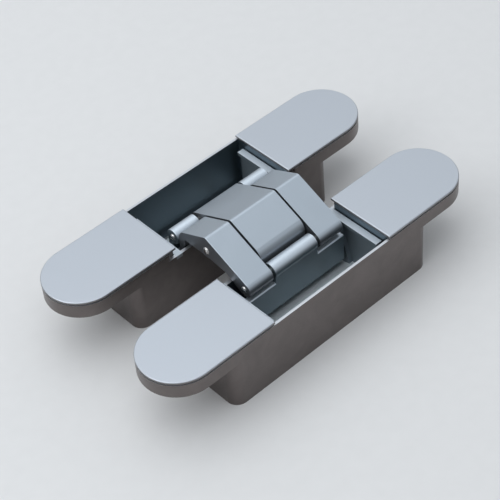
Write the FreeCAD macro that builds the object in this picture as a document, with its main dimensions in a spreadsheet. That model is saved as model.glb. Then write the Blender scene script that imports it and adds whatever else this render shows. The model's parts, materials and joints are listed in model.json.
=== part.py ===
import FreeCAD
import Part
import os
import re
import Sketcher

# Concealed door hinge, lying open on the flat bottoms of its two leaves. X runs along the leaves,
# Y across them and Z up. The origin is midway between the leaves at the level of their bottoms.
# The door leaf lies at positive Y and the frame leaf at negative Y. Sizes are in millimetres.
SIZES = {
    # Leaves
    "hinge_length": 160.0,
    "leaf_width": 32.0,
    "leaf_gap": 24.0,
    "leaf_depth": 31.0,
    "flange_thickness": 6.3,
    "box_length": 105.0,
    "box_corner": 5.0,
    "outer_wall": 1.1,
    "inner_wall": 1.5,
    "floor_thickness": 3.0,
    "cavity_length": 61.4,
    "mouth_margin": 2.3,
    "mouth_drop": 5.0,
    "mouth_corner": 1.2,
    # Pockets under the covers
    "pocket_inner_wall": 7.3,
    "pocket_outer_wall": 3.0,
    "pocket_width": 17.0,
    "pocket_floor": 7.0,
    # Flange screw holes, placed from the ends of the leaf
    "flange_hole_inset": 14.0,
    "flange_hole_pitch": 14.0,
    "flange_hole_bore": 5.2,
    "flange_hole_sink": 2.2,
    # Covers
    "cover_thickness": 1.7,
    "cover_overhang": 0.45,
    "cover_groove_height": 0.6,
    "cover_groove_depth": 0.7,
    "cover_edge": 0.3,
    "clip_length": 8.0,
    "clip_depth": 4.0,
    "clip_thickness": 1.6,
    # Pivots of one leaf, as distances from the middle plane and heights above the bottom
    "arm_pivot_offset": 17.4,
    "arm_pivot_height": 18.4,
    "knuckle_offset": 20.7,
    "knuckle_height": 26.8,
    "link_pivot_offset": 16.4,
    "link_pivot_height": 11.8,
    "center_height": 33.4,
    # Pins and their running fits
    "center_pin_bore": 3.4,
    "knuckle_pin_bore": 3.0,
    "arm_pin_bore": 2.5,
    "link_pin_bore": 2.5,
    "running_fit": 0.05,
    "pin_reach": 0.25,
    # Arms
    "center_arm_width": 23.2,
    "outer_arm_start": 12.5,
    "outer_arm_width": 12.2,
    "ridge_rise": 6.9,
    "ridge_round": 2.0,
    "arm_slope": 25.0,
    "hub_radius": 3.6,
    "arm_belly": 3.2,
    "belly_reach": 10.7,
    "belly_rise": 1.4,
    "bend_offset": 14.0,
    "bend_round": 2.0,
    "shoulder_offset": 16.5,
    "shoulder_rise": 5.0,
    "throat_reach": 1.6,
    "throat_drop": 1.2,
    "leg_eye_radius": 2.9,
    "leg_widening": 0.9,
    "leg_wall_clearance": 0.6,
    "leg_waist": 2.45,
    "waist_drop": 3.2,
    "heel_inset": 1.3,
    "washer_thickness": 0.6,
    "washer_radius": 3.2,
    # Links
    "link_play": 1.5,
    "link_thickness": 3.0,
    "link_face_reach": 3.0,
    "link_edge": 0.4,
    "link_barrel": 3.4,
    "link_bottom": 8.6,
    "link_top": 21.9,
    "middle_eye_width": 22.4,
    "side_eye_start": 12.7,
    "side_eye_width": 12.0,
    "lug_radius": 2.2,
    # Carriers, with their play in the cavity
    "carrier_end_play": 0.4,
    "carrier_near_play": 0.2,
    "carrier_far_play": 3.2,
    "carrier_wall": 1.5,
    "carrier_base": 2.4,
    "base_tongue": 7.5,
    "base_tongue_drop": 1.5,
    "ledge_width": 3.1,
    "ledge_thickness": 1.6,
    "cheek_thickness": 1.8,
    "cheek_top": 23.3,
    "cheek_top_reach": 19.7,
    "cheek_foot_reach": 25.5,
    "slot_play": 0.85,
    "slot_rise": 1.95,
}

# Places that several pieces share
TOP = "(leaf_depth - cover_thickness)"
INNER_EDGE = "(leaf_gap / 2)"
OUTER_EDGE = "(leaf_gap / 2 + leaf_width)"
LEAF_MIDDLE = "(leaf_gap / 2 + leaf_width / 2)"
MOUTH = "(leaf_depth - mouth_drop)"
CAVITY_NEAR = "(leaf_gap / 2 + inner_wall)"
CAVITY_FAR = "(leaf_gap / 2 + leaf_width - outer_wall)"
CAVITY_END = "(cavity_length / 2)"
CARRIER_END = "(cavity_length / 2 - carrier_end_play)"
CARRIER_NEAR = f"({CAVITY_NEAR} + carrier_near_play)"
CARRIER_FAR = f"({CAVITY_FAR} - carrier_far_play)"
WALL_START = f"({CARRIER_END} - carrier_wall)"
LEDGE_START = f"({CARRIER_END} - ledge_width)"
CHEEK_START = f"({WALL_START} - cheek_thickness)"
LINK_END = f"({CHEEK_START} - link_play)"
POCKET_START = f"({CAVITY_END} + pocket_inner_wall)"
POCKET_END = "(box_length / 2 - pocket_outer_wall)"
RIDGE = "(center_height + ridge_rise)"
ARM_EYE = f"({RIDGE} - knuckle_height) * cos(arm_slope) - knuckle_offset * sin(arm_slope)"
OUTER_ARM_END = "(outer_arm_start + outer_arm_width)"
LONG_PIN_END = f"({OUTER_ARM_END} + pin_reach)"

doc = FreeCAD.newDocument("ConcealedHinge")
sheet = doc.addObject("Spreadsheet::Sheet", "Sizes")
for row, (alias, value) in enumerate(SIZES.items(), start=1):
    sheet.set(f"A{row}", alias)
    sheet.set(f"B{row}", str(value))
    sheet.setAlias(f"B{row}", alias)
doc.recompute()


def tied(text):
    """Point the names in an expression at the cells of the sheet."""
    return re.sub(r"\b([a-z]\w*)\b(?!\()", r"Sizes.\1", text)


def number(text):
    """The present value of an expression."""
    return float(sheet.evalExpression(tied(text)))


def new_body(label, turned=False):
    """An empty body; a turned one is built on the door side and lies on the frame side."""
    body = doc.addObject("PartDesign::Body", label)
    body.Label = label
    if turned:
        body.Placement.Rotation = FreeCAD.Rotation(FreeCAD.Vector(0, 0, 1), 180)
    return body


def new_sketch(body, role, offset="0"):
    """A sketch on an origin plane of the body, moved along the plane's normal."""
    plane = next(feature for feature in body.Origin.OriginFeatures if feature.Role == role)
    sketch = body.newObject("Sketcher::SketchObject", f"{body.Label}_sketch")
    sketch.AttachmentSupport = (plane, [""])
    sketch.MapMode = "FlatFace"
    sketch.setExpression("AttachmentOffset.Base.z", tied(offset))
    return sketch


def dimension(sketch, kind, geometry, point, text):
    """A dimension from the sketch's origin, tied to the sheet."""
    place = Sketcher.Constraint(kind, -1, 1, geometry, point, number(text))
    index = sketch.addConstraint(place)
    sketch.setExpression(f"Constraints[{index}]", tied(text))


def draw_outline(sketch, corners):
    """A closed outline of straight edges."""
    points = [FreeCAD.Vector(number(across), number(up), 0) for across, up in corners]
    count = len(points)
    first = sketch.GeometryCount
    for index, point in enumerate(points):
        sketch.addGeometry(Part.LineSegment(point, points[(index + 1) % count]))
    for index, (across, up) in enumerate(corners):
        following = first + (index + 1) % count
        sketch.addConstraint(Sketcher.Constraint("Coincident", first + index, 2, following, 1))
        dimension(sketch, "DistanceX", first + index, 1, across)
        dimension(sketch, "DistanceY", first + index, 1, up)


def draw_rectangle(sketch, left, right, low, high):
    """A rectangle between four tied edges."""
    draw_outline(sketch, [(left, low), (right, low), (right, high), (left, high)])


def draw_circle(sketch, across, up, radius):
    """A circle with a tied centre and radius."""
    center = FreeCAD.Vector(number(across), number(up), 0)
    geometry = sketch.addGeometry(Part.Circle(center, FreeCAD.Vector(0, 0, 1), number(radius)))
    dimension(sketch, "DistanceX", geometry, 3, across)
    dimension(sketch, "DistanceY", geometry, 3, up)
    index = sketch.addConstraint(Sketcher.Constraint("Radius", geometry, number(radius)))
    sketch.setExpression(f"Constraints[{index}]", tied(radius))


def pad(body, sketch, length):
    """Material from the sketch along its normal."""
    feature = body.newObject("PartDesign::Pad", f"{body.Label}_pad")
    feature.Profile = sketch
    feature.setExpression("Length", tied(length))
    doc.recompute()


def pocket(body, sketch, length):
    """A cut from the sketch against its normal, which has to take material away."""
    before = body.Tip.Shape.Volume
    feature = body.newObject("PartDesign::Pocket", f"{body.Label}_pocket")
    feature.Profile = sketch
    feature.setExpression("Length", tied(length))
    doc.recompute()
    if body.Tip.Shape.Volume > before - 0.01:
        raise RuntimeError(f"a pocket of {body.Label} cuts nothing")


def edges_within(shape, x=(-999, 999), y=(-999, 999), z=(-999, 999)):
    """The names of the edges that lie wholly between the limits."""
    names = []
    for index, edge in enumerate(shape.Edges, start=1):
        box = edge.BoundBox
        spans = [(box.XMin, box.XMax, x), (box.YMin, box.YMax, y), (box.ZMin, box.ZMax, z)]
        if all(low >= span[0] - 0.02 and high <= span[1] + 0.02 for low, high, span in spans):
            names.append(f"Edge{index}")
    return names


def soften(body, kind, size, **limits):
    """A fillet or a chamfer on the edges between the limits."""
    base = body.Tip
    names = edges_within(base.Shape, **limits)
    if not names:
        raise RuntimeError(f"{body.Label} has no edge to soften")
    feature = body.newObject(f"PartDesign::{kind}", f"{body.Label}_{kind.lower()}")
    feature.Base = (base, names)
    feature.setExpression("Radius" if kind == "Fillet" else "Size", tied(size))
    doc.recompute()


def at(text, play=0.0):
    """Limits round one tied place."""
    return (number(text) - play, number(text) + play)


def make_housing(label, turned):
    """A leaf's die-cast housing: a long flange with round ends over a deep box."""
    body = new_body(label, turned)
    half = "box_length / 2"
    sketch = new_sketch(body, "XY_Plane")
    draw_rectangle(sketch, f"-{half}", half, INNER_EDGE, OUTER_EDGE)
    pad(body, sketch, TOP)
    for across in (f"-{half}", half):
        for edge in (INNER_EDGE, OUTER_EDGE):
            soften(body, "Fillet", "box_corner", x=at(across), y=at(edge))
    base = f"{TOP} - flange_thickness"
    straight = "(hinge_length - leaf_width) / 2"
    sketch = new_sketch(body, "XY_Plane", base)
    draw_rectangle(sketch, f"-{straight}", straight, INNER_EDGE, OUTER_EDGE)
    pad(body, sketch, "flange_thickness")
    for across in (f"-{straight}", straight):
        sketch = new_sketch(body, "XY_Plane", base)
        draw_circle(sketch, across, LEAF_MIDDLE, "leaf_width / 2")
        pad(body, sketch, "flange_thickness")
    cut_cavity(body)
    cut_end_pockets(body)
    cut_flange_holes(body)
    return body


def cut_cavity(body):
    """The space for the mechanism, with a lower wall towards the other leaf."""
    sketch = new_sketch(body, "XY_Plane", TOP)
    draw_rectangle(sketch, f"-{CAVITY_END}", CAVITY_END, CAVITY_NEAR, CAVITY_FAR)
    pocket(body, sketch, f"{TOP} - floor_thickness")
    half = f"({CAVITY_END} + mouth_margin)"
    sketch = new_sketch(body, "XY_Plane", TOP)
    draw_rectangle(sketch, f"-{half}", half, f"{INNER_EDGE} - 1", CAVITY_NEAR)
    pocket(body, sketch, f"{TOP} - {MOUTH}")
    for across in (f"-{half}", half):
        soften(body, "Fillet", "mouth_corner", x=at(across), y=at(INNER_EDGE), z=at(MOUTH, 50))
    for side in ("-", ""):
        ends = sorted((f"{side}{LEDGE_START}", f"{side}{CARRIER_END}"), key=number)
        sketch = new_sketch(body, "XY_Plane", MOUTH)
        draw_rectangle(sketch, *ends, f"{INNER_EDGE} - 1", CAVITY_NEAR)
        pocket(body, sketch, "ledge_thickness")


def cut_end_pockets(body):
    """A pocket under each cover, which saves metal and takes the cover's clips."""
    low, high = f"{LEAF_MIDDLE} - pocket_width / 2", f"{LEAF_MIDDLE} + pocket_width / 2"
    for side in ("-", ""):
        ends = sorted((f"{side}{POCKET_START}", f"{side}{POCKET_END}"), key=number)
        sketch = new_sketch(body, "XY_Plane", TOP)
        draw_rectangle(sketch, *ends, low, high)
        pocket(body, sketch, f"{TOP} - pocket_floor")


def cut_flange_holes(body):
    """Two countersunk screw holes through each end of the flange."""
    for side in (-1, 1):
        for row in (-1, 1):
            across = f"{side} * (hinge_length / 2 - flange_hole_inset)"
            up = f"{LEAF_MIDDLE} + {row} * flange_hole_pitch / 2"
            sketch = new_sketch(body, "XY_Plane", TOP)
            draw_circle(sketch, across, up, "flange_hole_bore / 2")
            pocket(body, sketch, "flange_thickness + 1")
            reach = number("flange_hole_bore / 2")
            soften(body, "Chamfer", "flange_hole_sink", x=at(across, reach), y=at(up, reach), z=at(TOP))


def make_cover(label, turned, side):
    """A thin cover with one round end, standing on a foot that leaves a shadow groove under its rim."""
    body = new_body(label, turned)
    inner = f"{side} * ({CAVITY_END} - cover_overhang)"
    straight = f"{side} * (hinge_length - leaf_width) / 2"
    for base, height, inset in (
        (TOP, "cover_groove_height", "cover_groove_depth"),
        (f"{TOP} + cover_groove_height", "cover_thickness - cover_groove_height", "0"),
    ):
        ends = sorted((f"{inner} + {side} * {inset}", straight), key=number)
        sketch = new_sketch(body, "XY_Plane", base)
        draw_rectangle(sketch, *ends, f"{INNER_EDGE} + {inset}", f"{OUTER_EDGE} - {inset}")
        pad(body, sketch, height)
        sketch = new_sketch(body, "XY_Plane", base)
        draw_circle(sketch, straight, LEAF_MIDDLE, f"leaf_width / 2 - {inset}")
        pad(body, sketch, height)
    soften(body, "Chamfer", "cover_edge", z=at("leaf_depth"))
    middle = f"{side} * ({POCKET_START} + {POCKET_END}) / 2"
    for row in (-1, 1):
        wall = f"{LEAF_MIDDLE} + {row} * pocket_width / 2"
        inside = f"{LEAF_MIDDLE} + {row} * (pocket_width / 2 - clip_thickness)"
        sketch = new_sketch(body, "XY_Plane", f"{TOP} - clip_depth")
        ends = (f"{middle} - clip_length / 2", f"{middle} + clip_length / 2")
        draw_rectangle(sketch, *ends, *sorted((inside, wall), key=number))
        pad(body, sketch, "clip_depth")
    return body


def make_carrier(label, turned):
    """The cast slide inside a leaf: a base plate, ledged end walls and the cheeks that hold the pins."""
    body = new_body(label, turned)
    base_top = "floor_thickness + carrier_base"
    sketch = new_sketch(body, "YZ_Plane", f"-{CARRIER_END}")
    draw_outline(sketch, [
        ("cheek_foot_reach - base_tongue", "floor_thickness"),
        (CARRIER_FAR, "floor_thickness"),
        (CARRIER_FAR, base_top),
        ("cheek_foot_reach", base_top),
        ("cheek_foot_reach - base_tongue", f"{base_top} - base_tongue_drop"),
    ])
    pad(body, sketch, f"2 * {CARRIER_END}")
    wall = [
        (CARRIER_NEAR, "floor_thickness"),
        (CARRIER_FAR, "floor_thickness"),
        (CARRIER_FAR, MOUTH),
        (CARRIER_NEAR, MOUTH),
    ]
    ledge = [
        (INNER_EDGE, f"{MOUTH} - ledge_thickness"),
        (CARRIER_FAR, f"{MOUTH} - ledge_thickness"),
        (CARRIER_FAR, MOUTH),
        (INNER_EDGE, MOUTH),
    ]
    cheek = [
        (CARRIER_NEAR, "floor_thickness"),
        ("cheek_foot_reach", "floor_thickness"),
        ("cheek_top_reach", "cheek_top"),
        (CARRIER_NEAR, "cheek_top"),
    ]
    for outline, place, width in (
        (wall, WALL_START, "carrier_wall"),
        (ledge, LEDGE_START, "ledge_width"),
        (cheek, CHEEK_START, "cheek_thickness"),
    ):
        for start in (place, f"-{place} - {width}"):
            sketch = new_sketch(body, "YZ_Plane", start)
            draw_outline(sketch, outline)
            pad(body, sketch, width)
    cut_pin_places(body)
    return body


def cut_pin_places(body):
    """Round seats for the arm pin and upright slots for the link pins, at both ends."""
    depth = "cheek_thickness + carrier_wall"
    radius = "(link_pin_bore / 2 + slot_play)"
    low, high = "link_pivot_height", "link_pivot_height + slot_rise"
    for start in (CARRIER_END, f"-{CHEEK_START}"):
        sketch = new_sketch(body, "YZ_Plane", start)
        draw_circle(sketch, "arm_pivot_offset", "arm_pivot_height", "arm_pin_bore / 2")
        pocket(body, sketch, depth)
        sketch = new_sketch(body, "YZ_Plane", start)
        draw_rectangle(sketch, f"link_pivot_offset - {radius}", f"link_pivot_offset + {radius}", low, high)
        pocket(body, sketch, depth)
        for level in (low, high):
            sketch = new_sketch(body, "YZ_Plane", start)
            draw_circle(sketch, "link_pivot_offset", level, radius)
            pocket(body, sketch, depth)


def arm_outline():
    """Side outline of an arm: a ridge over the centre pin, a long end and a short leg."""
    slope = "tan(arm_slope)"
    bend = f"{RIDGE} - bend_offset * {slope}"
    belly = "center_height - arm_belly"
    eye = f"({ARM_EYE})"
    tip_top = (f"knuckle_offset + {eye} * sin(arm_slope)", f"knuckle_height + {eye} * cos(arm_slope)")
    tip_low = (f"knuckle_offset - {eye} / 2", f"knuckle_height - {eye} * 0.86")
    leg_inner = "-(arm_pivot_offset - leg_eye_radius)"
    leg_outer = "-(arm_pivot_offset + leg_eye_radius)"
    return [
        ("0", RIDGE),
        tip_top,
        ("knuckle_offset", "knuckle_height"),
        tip_low,
        ("belly_reach", f"{belly} - belly_rise"),
        ("0", belly),
        (f"{leg_inner} + throat_reach", belly),
        (f"{leg_inner} + leg_widening", f"{belly} - throat_drop"),
        (f"{leg_inner} + leg_widening", f"{MOUTH} + leg_wall_clearance"),
        (leg_inner, f"{MOUTH} - leg_wall_clearance"),
        (leg_inner, "arm_pivot_height"),
        (leg_outer, "arm_pivot_height"),
        (f"{leg_outer} + heel_inset", "arm_pivot_height + leg_eye_radius"),
        (f"{leg_inner} - leg_waist", "knuckle_height - waist_drop"),
        ("-shoulder_offset", "knuckle_height + shoulder_rise"),
        ("-bend_offset", bend),
    ]


def bore(body, start, width, places):
    """Bores through a piece along X."""
    for across, up, size in places:
        sketch = new_sketch(body, "YZ_Plane", f"{start} + {width}")
        draw_circle(sketch, across, up, f"{size} / 2")
        pocket(body, sketch, width)


def make_arm(label, turned, start, width, center_bore):
    """A folded arm with three eyes: the knuckle end, the centre and the foot of the short leg."""
    body = new_body(label, turned)
    sketch = new_sketch(body, "YZ_Plane", start)
    draw_outline(sketch, arm_outline())
    pad(body, sketch, width)
    eyes = (
        ("knuckle_offset", "knuckle_height", ARM_EYE, "(knuckle_pin_bore + 2 * running_fit)"),
        ("0", "center_height", "hub_radius", center_bore),
        ("-arm_pivot_offset", "arm_pivot_height", "leg_eye_radius", "(arm_pin_bore + 2 * running_fit)"),
    )
    for across, up, radius, _ in eyes:
        sketch = new_sketch(body, "YZ_Plane", start)
        draw_circle(sketch, across, up, radius)
        pad(body, sketch, width)
    soften(body, "Fillet", "ridge_round", y=at("0"), z=at(RIDGE))
    bend = f"{RIDGE} - bend_offset * tan(arm_slope)"
    soften(body, "Fillet", "bend_round", y=at("-bend_offset"), z=at(bend))
    bore(body, start, width, [(across, up, size) for across, up, _, size in eyes])
    return body


def make_link(label, turned, tongues, lugs):
    """A link plate with barrel eyes at the top and lugs for its lower pin."""
    body = new_body(label, turned)
    face = "(knuckle_offset + link_face_reach)"
    back = f"({face} - link_thickness)"
    sketch = new_sketch(body, "YZ_Plane", f"-{LINK_END}")
    draw_outline(sketch, [
        (back, "link_bottom"),
        (face, "link_bottom"),
        (face, "link_top - link_edge"),
        (f"{face} - link_edge", "link_top"),
        (back, "link_top"),
    ])
    pad(body, sketch, f"2 * {LINK_END}")
    for start, width in tongues:
        sketch = new_sketch(body, "YZ_Plane", start)
        draw_rectangle(sketch, back, face, "link_top - link_edge", "knuckle_height")
        pad(body, sketch, width)
        sketch = new_sketch(body, "YZ_Plane", start)
        draw_circle(sketch, "knuckle_offset", "knuckle_height", "link_barrel")
        pad(body, sketch, width)
        bore(body, start, width, [("knuckle_offset", "knuckle_height", "knuckle_pin_bore")])
    for start, width in lugs:
        sketch = new_sketch(body, "YZ_Plane", start)
        limits = ("link_pivot_height - lug_radius", "link_pivot_height + lug_radius")
        draw_rectangle(sketch, "link_pivot_offset", back, *limits)
        pad(body, sketch, width)
        sketch = new_sketch(body, "YZ_Plane", start)
        draw_circle(sketch, "link_pivot_offset", "link_pivot_height", "lug_radius")
        pad(body, sketch, width)
        bore(body, start, width, [("link_pivot_offset", "link_pivot_height", "link_pin_bore")])
    return body


def make_pin(label, turned, end, offset, height, size):
    """A plain pin along X that reaches equally far to both sides."""
    body = new_body(label, turned)
    sketch = new_sketch(body, "YZ_Plane", f"-{end}")
    draw_circle(sketch, offset, height, f"{size} / 2")
    pad(body, sketch, f"2 * {end}")
    return body


def make_washer(label, start):
    """A thrust washer on the centre pin, in the gap between two arms."""
    body = new_body(label)
    sketch = new_sketch(body, "YZ_Plane", start)
    draw_circle(sketch, "0", "center_height", "washer_radius")
    draw_circle(sketch, "0", "center_height", "center_pin_bore / 2")
    pad(body, sketch, "washer_thickness")
    return body


MIDDLE_EYE = [("-middle_eye_width / 2", "middle_eye_width")]
SIDE_EYES = [("side_eye_start", "side_eye_width"), ("-side_eye_start - side_eye_width", "side_eye_width")]
SIDES = {"left": -1, "right": 1}

pieces = []
for leaf, turned in (("frame", True), ("door", False)):
    pieces.append(make_housing(f"{leaf}_housing", turned))
    pieces.append(make_carrier(f"{leaf}_carrier", turned))
    for name, side in SIDES.items():
        pieces.append(make_cover(f"{leaf}_cover_{name}", turned, -side if turned else side))
    pieces.append(make_pin(
        f"{leaf}_arm_pin", turned, CARRIER_END, "arm_pivot_offset", "arm_pivot_height", "arm_pin_bore",
    ))
    pieces.append(make_pin(
        f"{leaf}_link_pin", turned, CARRIER_END, "link_pivot_offset", "link_pivot_height", "link_pin_bore",
    ))
    pieces.append(make_pin(
        f"{leaf}_knuckle_pin", turned, LONG_PIN_END, "knuckle_offset", "knuckle_height", "knuckle_pin_bore",
    ))

pieces.append(make_link("frame_link", True, MIDDLE_EYE, SIDE_EYES))
pieces.append(make_link("door_link", False, SIDE_EYES, MIDDLE_EYE))
pieces.append(make_arm(
    "center_arm", False, "-center_arm_width / 2", "center_arm_width", "(center_pin_bore + 2 * running_fit)",
))
for name, start in (("left", "outer_arm_start"), ("right", f"-{OUTER_ARM_END}")):
    pieces.append(make_arm(f"outer_arm_{name}", True, start, "outer_arm_width", "center_pin_bore"))
pieces.append(make_pin("center_pin", False, LONG_PIN_END, "0", "center_height", "center_pin_bore"))
pieces.append(make_washer("washer_left", "-outer_arm_start"))
pieces.append(make_washer("washer_right", "outer_arm_start - washer_thickness"))

doc.recompute()
for item in doc.Objects:
    if "Invalid" in item.State or "Error" in item.State:
        raise RuntimeError(f"{item.Label} failed: {item.State}")
for piece in pieces:
    if piece.Shape.isNull() or not piece.Shape.isValid():
        raise RuntimeError(f"{piece.Label} has no valid shape")

os.makedirs("parts", exist_ok=True)
for piece in pieces:
    piece.Shape.exportStep(f"parts/{piece.Label}.step")
    print(piece.Label, len(piece.Shape.Solids), round(piece.Shape.Volume, 1))
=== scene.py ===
import bmesh
import json
import math
import bpy
from mathutils import Matrix, Vector


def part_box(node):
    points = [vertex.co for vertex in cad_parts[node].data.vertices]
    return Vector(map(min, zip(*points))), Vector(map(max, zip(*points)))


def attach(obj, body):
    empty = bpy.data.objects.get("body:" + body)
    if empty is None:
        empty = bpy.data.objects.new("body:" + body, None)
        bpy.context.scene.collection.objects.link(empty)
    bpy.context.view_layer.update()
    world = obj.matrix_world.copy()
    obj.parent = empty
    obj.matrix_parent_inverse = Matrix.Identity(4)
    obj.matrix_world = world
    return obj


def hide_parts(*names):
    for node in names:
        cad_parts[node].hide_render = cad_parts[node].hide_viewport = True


# A concealed door hinge: its finishes, rounded edges and small fasteners, and the light it stands in.
# Sizes and places are in metres, colours are linear. The scale of a texture is in cells per metre
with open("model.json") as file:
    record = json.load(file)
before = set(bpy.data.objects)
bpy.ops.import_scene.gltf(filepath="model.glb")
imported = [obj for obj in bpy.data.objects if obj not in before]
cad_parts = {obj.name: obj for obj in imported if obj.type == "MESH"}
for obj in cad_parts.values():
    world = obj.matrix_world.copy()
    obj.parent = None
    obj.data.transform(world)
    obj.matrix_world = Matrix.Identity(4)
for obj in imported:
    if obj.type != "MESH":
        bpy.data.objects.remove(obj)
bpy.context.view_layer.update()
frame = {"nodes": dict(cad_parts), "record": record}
nodes = frame["nodes"]
slotOf = {part["node"]: part["material_slot"] for part in frame["record"]["subparts"]}
bodies = frame["record"]["behaviour"]["bodies"]
bodyOf = {node: body for body, members in bodies.items() for node in members}
print("frame loaded", len(nodes))

gridStep = (200, 240)  # from one column or row of a node tree to the next
fullSpread = (0.0, 1.0)
softSpread = (0.3, 0.7)  # the middle of a noise, where most of its values are
narrowSpread = (0.35, 0.65)
bumpStrength = 0.5


def addNode(tree, kind, column, row, **inputs):  # a shader node with its inputs set
    node = tree.nodes.new(kind)
    node.location = (column * gridStep[0], row * gridStep[1])
    for name, value in inputs.items():
        node.inputs[name.replace("_", " ")].default_value = value
    return node


def addNoise(tree, column, row, coordinates, scale, detail, roughness=0.5, distortion=0.0):
    node = addNode(tree, "ShaderNodeTexNoise", column, row, Scale=scale, Detail=detail,
                   Roughness=roughness, Distortion=distortion)
    tree.links.new(coordinates.outputs["Object"], node.inputs["Vector"])
    return node.outputs["Fac"]


def mapRange(tree, column, row, source, taken, given):
    node = addNode(tree, "ShaderNodeMapRange", column, row, From_Min=taken[0], From_Max=taken[1],
                   To_Min=given[0], To_Max=given[1])
    tree.links.new(source, node.inputs["Value"])
    return node.outputs["Result"]


def mixColor(tree, column, row, factor, first, second):
    node = addNode(tree, "ShaderNodeMix", column, row)
    node.data_type = "RGBA"
    tree.links.new(factor, node.inputs["Factor"])
    for socket, color in ((node.inputs[6], first), (node.inputs[7], second)):  # the two colour inputs
        if isinstance(color, tuple):
            socket.default_value = (*color, 1)
        else:
            tree.links.new(color, socket)
    return node.outputs[2]


def calculate(tree, column, row, operation, *values):
    node = addNode(tree, "ShaderNodeMath", column, row)
    node.operation = operation
    for socket, value in zip(node.inputs, values):
        if isinstance(value, float):
            socket.default_value = value
        else:
            tree.links.new(value, socket)
    return node.outputs["Value"]


def facingUp(tree, column, row, coordinates, taken):  # 0 on sides and undersides, 1 on tops
    direction = addNode(tree, "ShaderNodeSeparateXYZ", column, row)
    tree.links.new(coordinates.outputs["Normal"], direction.inputs["Vector"])
    return mapRange(tree, column + 1, row, direction.outputs["Z"], taken, fullSpread)


def addBump(tree, column, row, source, height, shader):
    bump = addNode(tree, "ShaderNodeBump", column, row, Strength=bumpStrength, Distance=height)
    tree.links.new(source, bump.inputs["Height"])
    tree.links.new(bump.outputs["Normal"], shader.inputs["Normal"])


def newMaterial(name, metal, **inputs):
    material = bpy.data.materials.new(name)
    material.use_nodes = True
    shader = material.node_tree.nodes["Principled BSDF"]
    shader.inputs["Metallic"].default_value = metal
    for key, value in inputs.items():
        shader.inputs[key.replace("_", " ")].default_value = value
    return material, material.node_tree, shader


# Satin silver lacquer of the covers, arms and links: a fine metallic flake in a thin coat. Tops get the
# lacquer colour, and sides and undersides are painted in a dark colour as painted shade. The coat's facing
# range says how far a face has to look up before the painted shade starts to lift and where it is gone, clouds
# gives a noise's scale and detail, and the orange peel is a few times coarser than the grain
lacquer = {
    "cover": {"color": (0.55, 0.585, 0.635), "deep": (0.53, 0.565, 0.615), "under": (0.19, 0.18, 0.18),
              "metal": 0.60, "rough": (0.34, 0.40), "grain": 11000, "height": 0.000005},
    "arm": {"color": (0.515, 0.575, 0.635), "deep": (0.49, 0.55, 0.61), "under": (0.155, 0.165, 0.18),
            "metal": 0.72, "rough": (0.34, 0.42), "grain": 9000, "height": 0.000007},
    "link": {"color": (0.68, 0.75, 0.82), "deep": (0.64, 0.71, 0.78), "under": (0.165, 0.205, 0.23),
             "metal": 0.70, "rough": (0.38, 0.46), "grain": 7000, "height": 0.000008},
}
coat = {"weight": 0.12, "rough": 0.3, "shadeFacing": (0.10, 0.72), "flake": (0.1, 0.9), "clouds": (140, 3.0),
        "peelSize": 3, "peelDetail": 2.0}


def makeLacquer(name, look):
    material, tree, shader = newMaterial(f"{name}Lacquer", look["metal"],
                                         Coat_Weight=coat["weight"], Coat_Roughness=coat["rough"])
    coordinates = addNode(tree, "ShaderNodeTexCoord", -6, 0)
    flake = addNode(tree, "ShaderNodeTexVoronoi", -5, 1, Scale=look["grain"])
    tree.links.new(coordinates.outputs["Object"], flake.inputs["Vector"])
    level = mapRange(tree, -4, 1, flake.outputs["Distance"], coat["flake"], fullSpread)
    coated = mixColor(tree, -3, 1, level, look["color"], look["deep"])
    # Painted shade: faces that look sideways or down get the dark shade colour instead of the lacquer
    unshaded = facingUp(tree, -5, 2, coordinates, coat["shadeFacing"])
    tree.links.new(mixColor(tree, -2, 1, unshaded, look["under"], coated), shader.inputs["Base Color"])
    clouds = addNoise(tree, -5, 0, coordinates, *coat["clouds"])
    tree.links.new(mapRange(tree, -3, 0, clouds, softSpread, look["rough"]), shader.inputs["Roughness"])
    peel = addNoise(tree, -5, -1, coordinates, look["grain"] / coat["peelSize"], coat["peelDetail"])
    addBump(tree, -2, -1, peel, look["height"], shader)
    return material


# Die-cast metal: tops have the bright metal colour, and sides and undersides are painted in a darker colour as
# painted shade. Inside the cavities the painted shade is bluer, and what looks up from below baseTop gets its
# own colour, a bright painted reflection on the carrier. The facing range says how far a face has to look up
# before the painted shade gives way to the bright colour, flow gives a noise's scale, detail, roughness and
# distortion
casting = {
    "housing": {"bright": (0.66, 0.68, 0.71), "base": (0.66, 0.68, 0.71), "paintedSideShade": (0.185, 0.163, 0.156),
                "inside": (0.115, 0.150, 0.175), "metal": 0.88, "rough": (0.30, 0.40),
                "grain": 2600, "height": 0.000022},
    "carrier": {"bright": (0.63, 0.69, 0.75), "base": (0.90, 0.97, 1.0), "paintedSideShade": (0.34, 0.37, 0.40),
                "inside": (0.19, 0.225, 0.25), "metal": 0.50, "rough": (0.38, 0.52),
                "grain": 3200, "height": 0.00003},
}
castLook = {"litTops": (0.55, 0.85), "flow": (95, 5.0, 0.55, 0.8), "grainDetail": 4.0, "grainRough": 0.6,
            "darker": 0.86}
cavity = {"middle": 0.0277, "half": 0.0154, "end": 0.0310, "floor": 0.0010}  # the room between the walls
baseTop = 0.0100


def insideCavity(tree, column, row, place):  # 1 on the walls and floors of the two cavities, 0 outside them
    across = calculate(tree, column, row, "ABSOLUTE", place.outputs["Y"])
    within = calculate(tree, column + 1, row, "COMPARE", across, cavity["middle"], cavity["half"])
    along = calculate(tree, column + 1, row + 1, "COMPARE", place.outputs["X"], 0.0, cavity["end"])
    above = calculate(tree, column + 1, row - 1, "GREATER_THAN", place.outputs["Z"], cavity["floor"])
    level = calculate(tree, column + 2, row, "MULTIPLY", within, along)
    return calculate(tree, column + 3, row, "MULTIPLY", level, above)


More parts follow.
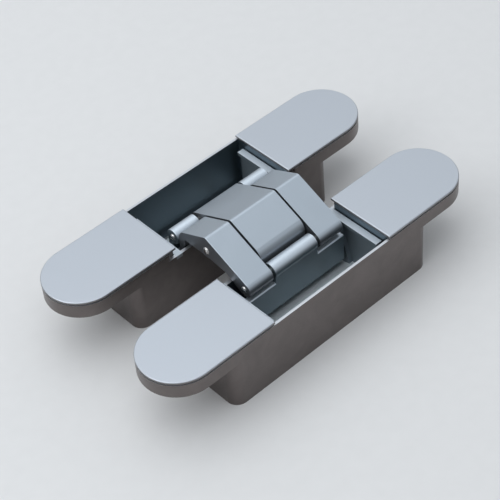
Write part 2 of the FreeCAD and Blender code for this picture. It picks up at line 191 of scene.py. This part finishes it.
def makeCasting(name, look):
    material, tree, shader = newMaterial(f"{name}Casting", look["metal"])
    coordinates = addNode(tree, "ShaderNodeTexCoord", -8, 0)
    place = addNode(tree, "ShaderNodeSeparateXYZ", -7, 4)
    tree.links.new(coordinates.outputs["Object"], place.inputs["Vector"])
    darker = tuple(channel * castLook["darker"] for channel in look["paintedSideShade"])
    flow = addNoise(tree, -5, 0, coordinates, *castLook["flow"])
    level = mapRange(tree, -4, 0, flow, narrowSpread, fullSpread)
    shadedSides = mixColor(tree, -3, 0, level, darker, look["paintedSideShade"])
    # Painted shade in the two cavities: their walls and floors get a bluer, darker colour
    shadedSides = mixColor(tree, -2, 1, insideCavity(tree, -6, 4, place), shadedSides, look["inside"])
    # Painted reflection: up-facing faces below baseTop get a bright bluish colour on the carrier; on the
    # housing it equals the bright metal
    low = calculate(tree, -3, 2, "LESS_THAN", place.outputs["Z"], baseTop)
    bright = mixColor(tree, -2, 2, low, look["bright"], look["base"])
    # Painted shade: sides and undersides keep the dark shade colours, faces that look up get the bright metal
    # colour
    litTops = facingUp(tree, -3, 1, coordinates, castLook["litTops"])
    tree.links.new(mixColor(tree, -1, 1, litTops, shadedSides, bright), shader.inputs["Base Color"])
    grain = addNoise(tree, -5, -1, coordinates, look["grain"], castLook["grainDetail"], castLook["grainRough"])
    tree.links.new(mapRange(tree, -2, 0, grain, softSpread, look["rough"]), shader.inputs["Roughness"])
    addBump(tree, -1, -1, grain, look["height"], shader)
    return material


# Ground steel of the pins, rivet heads and screws, with fine turning marks around X
steel = {"color": (0.80, 0.79, 0.77), "deep": (0.66, 0.655, 0.64), "rough": (0.14, 0.26), "marks": 1500,
         "marksDetail": 3.0, "marksRough": 0.6, "stretch": (1.0, 0.12, 0.12)}


def makeSteel():
    material, tree, shader = newMaterial("groundSteel", 1.0)
    coordinates = addNode(tree, "ShaderNodeTexCoord", -5, 0)
    stretch = addNode(tree, "ShaderNodeMapping", -4, 0, Scale=steel["stretch"])
    tree.links.new(coordinates.outputs["Object"], stretch.inputs["Vector"])
    marks = addNode(tree, "ShaderNodeTexNoise", -3, 0, Scale=steel["marks"], Detail=steel["marksDetail"],
                    Roughness=steel["marksRough"])
    tree.links.new(stretch.outputs["Vector"], marks.inputs["Vector"])
    level = mapRange(tree, -2, 1, marks.outputs["Fac"], narrowSpread, fullSpread)
    tree.links.new(mixColor(tree, -1, 1, level, steel["color"], steel["deep"]), shader.inputs["Base Color"])
    rough = mapRange(tree, -2, 0, marks.outputs["Fac"], narrowSpread, steel["rough"])
    tree.links.new(rough, shader.inputs["Roughness"])
    return material


def makeMottled(name, look):  # a dull surface whose colour drifts slightly between two shades
    material, tree, shader = newMaterial(name, 0.0, Roughness=look["rough"])
    coordinates = addNode(tree, "ShaderNodeTexCoord", -4, 0)
    mottle = addNoise(tree, -3, 0, coordinates, *look["mottle"])
    level = mapRange(tree, -2, 0, mottle, look["spread"], fullSpread)
    tree.links.new(mixColor(tree, -1, 0, level, look["color"], look["deep"]), shader.inputs["Base Color"])
    return material


# Milky low-friction plastic of the washers
plastic = {"color": (0.72, 0.71, 0.68), "deep": (0.66, 0.65, 0.61), "rough": 0.5, "mottle": (1400, 3.0),
           "spread": narrowSpread}

finishes = {name: makeLacquer(name, look) for name, look in lacquer.items()}
finishes.update({name: makeCasting(name, look) for name, look in casting.items()})
finishes["pin"] = makeSteel()
finishes["washer"] = makeMottled("washerPlastic", plastic)
print("finishes", len(finishes))


def smoothFaces(work, sharpAngle):  # smooth shading that breaks at edges over the angle
    for face in work.faces:
        face.smooth = True
    for edge in work.edges:
        edge.smooth = edge.calc_face_angle(0.0) < sharpAngle


def placePiece(name, work, mesh, body, slot):
    work.to_mesh(mesh)
    work.free()
    mesh.materials.append(finishes[slot])
    piece = bpy.data.objects.new(name, mesh)
    bpy.context.scene.collection.objects.link(piece)
    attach(piece, body)
    return piece


# Every CAD piece is shown as a copy with its edges rounded off, by a width for each slot. Flat faces that
# were cut into triangles are joined first
edging = {"width": {"housing": 0.00030, "cover": 0.00018, "arm": 0.00030, "link": 0.00022,
                    "carrier": 0.00018, "pin": 0.00030, "washer": 0.00008},
          "segments": 2, "sharp": math.radians(28), "flat": math.radians(0.6), "merge": 0.000001}

# The shoulder of an arm, where its top turns down into the short leg, is rounded much more
shoulder = {"y": 0.0165, "z": 0.0318, "width": 0.0023, "segments": 8, "reach": 0.00005}


def onShoulder(corner):
    return (abs(abs(corner.co.y) - shoulder["y"]) < shoulder["reach"]
            and abs(corner.co.z - shoulder["z"]) < shoulder["reach"])


def roundShoulder(work):
    edges = [edge for edge in work.edges if all(onShoulder(corner) for corner in edge.verts)]
    bmesh.ops.bevel(work, geom=edges, offset=shoulder["width"], offset_type="OFFSET",
                    segments=shoulder["segments"], profile=0.5, affect="EDGES", clamp_overlap=True)


def roundedCopy(node):
    mesh = nodes[node].data.copy()
    mesh.name = f"{node}_rounded"
    mesh.materials.clear()
    work = bmesh.new()
    work.from_mesh(mesh)
    bmesh.ops.remove_doubles(work, verts=work.verts, dist=edging["merge"])
    bmesh.ops.dissolve_limit(work, angle_limit=edging["flat"], verts=work.verts, edges=work.edges)
    if slotOf[node] == "arm":
        roundShoulder(work)
    smoothFaces(work, edging["sharp"])
    piece = placePiece(f"{node}_rounded", work, mesh, bodyOf[node], slotOf[node])
    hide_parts(node)
    bevel = piece.modifiers.new("edges", "BEVEL")
    bevel.limit_method = "ANGLE"
    bevel.angle_limit = edging["sharp"]
    bevel.width = edging["width"][slotOf[node]]
    bevel.segments = edging["segments"]
    bevel.use_clamp_overlap = True
    bevel.harden_normals = True
    shading = piece.modifiers.new("shading", "WEIGHTED_NORMAL")
    shading.keep_sharp = True


for node in list(nodes):
    for slot in nodes[node].material_slots:
        slot.material = finishes[slotOf[node]]
    roundedCopy(node)
print("rounded pieces")


def addRing(work, sides, reach, radius, hexagonal=False):
    ring = []
    for step in range(sides):
        angle = 2 * math.pi * step / sides
        size = radius
        if hexagonal:
            size *= math.cos(math.pi / 6) / math.cos(angle % (math.pi / 3) - math.pi / 6)
        ring.append(work.verts.new((size * math.cos(angle), size * math.sin(angle), reach)))
    return ring


def turnedPiece(name, work, rings, look, place, direction, body):  # a closed steel solid from rings of points
    for first, second in zip(rings, rings[1:]):
        for step in range(len(first)):
            following = (step + 1) % len(first)
            corners = (first[step], first[following],
                       second[following % len(second)], second[step % len(second)])
            work.faces.new(list(dict.fromkeys(corners)))
    if len(rings[-1]) > 1:
        work.faces.new(rings[-1])
    work.faces.new(list(reversed(rings[0])))
    bmesh.ops.recalc_face_normals(work, faces=work.faces)
    smoothFaces(work, look["sharp"])
    turn = Vector((0, 0, 1)).rotation_difference(Vector(direction)).to_matrix().to_4x4()
    bmesh.ops.transform(work, matrix=Matrix.Translation(place) @ turn, verts=work.verts)
    placePiece(name, work, bpy.data.meshes.new(name), body, "pin")


# Domed rivet heads that stand out of the arms at both ends of the three long pins. They are shaded smooth
# all over
rivet = {"pins": ("center_pin", "frame_knuckle_pin", "door_knuckle_pin"), "radius": 0.00135,
         "height": 0.00045, "sink": 0.0001, "steps": 5, "sides": 32, "sharp": math.pi}


def makeRivetHeads():
    for pin in rivet["pins"]:
        low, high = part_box(pin)
        middle = [(low[axis] + high[axis]) / 2 for axis in range(3)]
        for side, end, way in (("left", low[0], -1), ("right", high[0], 1)):
            work = bmesh.new()
            rings = [addRing(work, rivet["sides"], -rivet["sink"], rivet["radius"])]
            for step in range(rivet["steps"]):
                angle = math.pi / 2 * step / rivet["steps"]
                rings.append(addRing(work, rivet["sides"], rivet["height"] * math.sin(angle),
                                     rivet["radius"] * math.cos(angle)))
            rings.append([work.verts.new((0, 0, rivet["height"]))])
            turnedPiece(f"{pin}_head_{side}", work, rings, rivet, (end, middle[1], middle[2]), (way, 0, 0),
                        bodyOf[pin])


# Clamp screws on the base plate of each carrier: a low head with a hexagonal socket, each as heights
# above the plate with their radii
clampScrew = {"x": 0.018, "y": 0.0335, "z": 0.0054, "sides": 48, "sharp": math.radians(25),
              "head": ((0.0, 0.0034), (0.000405, 0.0034), (0.00072, 0.0031), (0.0009, 0.0025)),
              "socket": ((0.0009, 0.00145), (0.0002, 0.00145))}


def makeClampScrews():
    for leaf, side in (("frame", -1), ("door", 1)):
        for name, across in (("left", -1), ("right", 1)):
            work = bmesh.new()
            rings = [addRing(work, clampScrew["sides"], *ring) for ring in clampScrew["head"]]
            rings += [addRing(work, clampScrew["sides"], *ring, hexagonal=True)
                      for ring in clampScrew["socket"]]
            place = (across * clampScrew["x"], side * clampScrew["y"], clampScrew["z"])
            turnedPiece(f"{leaf}_clamp_screw_{name}", work, rings, clampScrew, place, (0, 0, 1), leaf)


makeRivetHeads()
makeClampScrews()
print("rivet heads and screws")

# The camera stands where the photograph was taken from; angles in degrees, lens and sensor in millimetres
view = {"place": (-0.27078, -0.33070, 0.44153), "azimuth": -38.97, "elevation": 44.87, "roll": -5.52,
        "lens": 109.27, "sensor": 36, "nearest": 0.01}


def makeCamera():
    azimuth, elevation, roll = (math.radians(view[key]) for key in ("azimuth", "elevation", "roll"))
    back = Vector((math.sin(azimuth) * math.cos(elevation), -math.cos(azimuth) * math.cos(elevation),
                   math.sin(elevation)))
    across = Vector((0, 0, 1)).cross(back).normalized()
    up = back.cross(across)
    right = across * math.cos(roll) + up * math.sin(roll)
    top = up * math.cos(roll) - across * math.sin(roll)
    data = bpy.data.cameras.new("camera")
    data.lens = view["lens"]
    data.sensor_width = view["sensor"]
    data.clip_start = view["nearest"]
    camera = bpy.data.objects.new("camera", data)
    bpy.context.scene.collection.objects.link(camera)
    turn = Matrix((right, top, back)).transposed().to_4x4()
    camera.matrix_world = Matrix.Translation(view["place"]) @ turn
    bpy.context.scene.camera = camera


makeCamera()
print("camera")

# Pale paper floor
floorLook = {"half": 1.6, "color": (0.76, 0.755, 0.75), "deep": (0.745, 0.74, 0.735), "rough": 0.75,
             "mottle": (160, 3.0), "spread": softSpread}


def makeFloor():
    half = floorLook["half"]
    mesh = bpy.data.meshes.new("floor")
    corners = [(-half, -half, 0), (half, -half, 0), (half, half, 0), (-half, half, 0)]
    mesh.from_pydata(corners, [], [(0, 1, 2, 3)])
    mesh.materials.append(makeMottled("floorPaper", floorLook))
    floor = bpy.data.objects.new("floor", mesh)
    bpy.context.scene.collection.objects.link(floor)


# Large soft lamps that all point at the hinge; power in watts
lamps = [
    {"name": "keyLamp", "place": (-0.34, 0.16, 1.02), "size": 1.50, "power": 7.2, "color": (0.96, 0.98, 1.0)},
    {"name": "backLamp", "place": (0.38, 0.52, 0.74), "size": 1.10, "power": 1.0, "color": (0.93, 0.97, 1.0)},
    {"name": "sideLamp", "place": (-0.85, 0.15, 0.6), "size": 0.60, "power": 1.3, "color": (0.96, 0.98, 1.0)},
]


def makeLamps():
    for lamp in lamps:
        data = bpy.data.lights.new(lamp["name"], "AREA")
        data.size = lamp["size"]
        data.energy = lamp["power"]
        data.color = lamp["color"]
        light = bpy.data.objects.new(lamp["name"], data)
        light.location = lamp["place"]
        light.rotation_euler = Vector(lamp["place"]).to_track_quat("Z", "Y").to_euler()
        bpy.context.scene.collection.objects.link(light)


# A surround that grows brighter towards the top, like a light tent. climb says how high up it starts to
# change and where it has the zenith's colour, as 0 for the horizon and 1 for straight up
surround = {"horizon": (0.28, 0.28, 0.285), "zenith": (0.88, 0.94, 1.0), "climb": (0.0, 0.9), "strength": 0.68}


def makeWorld():
    world = bpy.data.worlds.new("studio")
    world.use_nodes = True
    tree = world.node_tree
    background = tree.nodes["Background"]
    background.inputs["Strength"].default_value = surround["strength"]
    direction = addNode(tree, "ShaderNodeTexCoord", -4, 0)
    height = addNode(tree, "ShaderNodeSeparateXYZ", -3, 0)
    tree.links.new(direction.outputs["Generated"], height.inputs["Vector"])
    level = mapRange(tree, -2, 0, height.outputs["Z"], surround["climb"], fullSpread)
    color = mixColor(tree, -1, 0, level, surround["horizon"], surround["zenith"])
    tree.links.new(color, background.inputs["Color"])
    bpy.context.scene.world = world


makeFloor()
makeLamps()
makeWorld()
bpy.context.scene.view_settings.view_transform = "Standard"
print("stage")
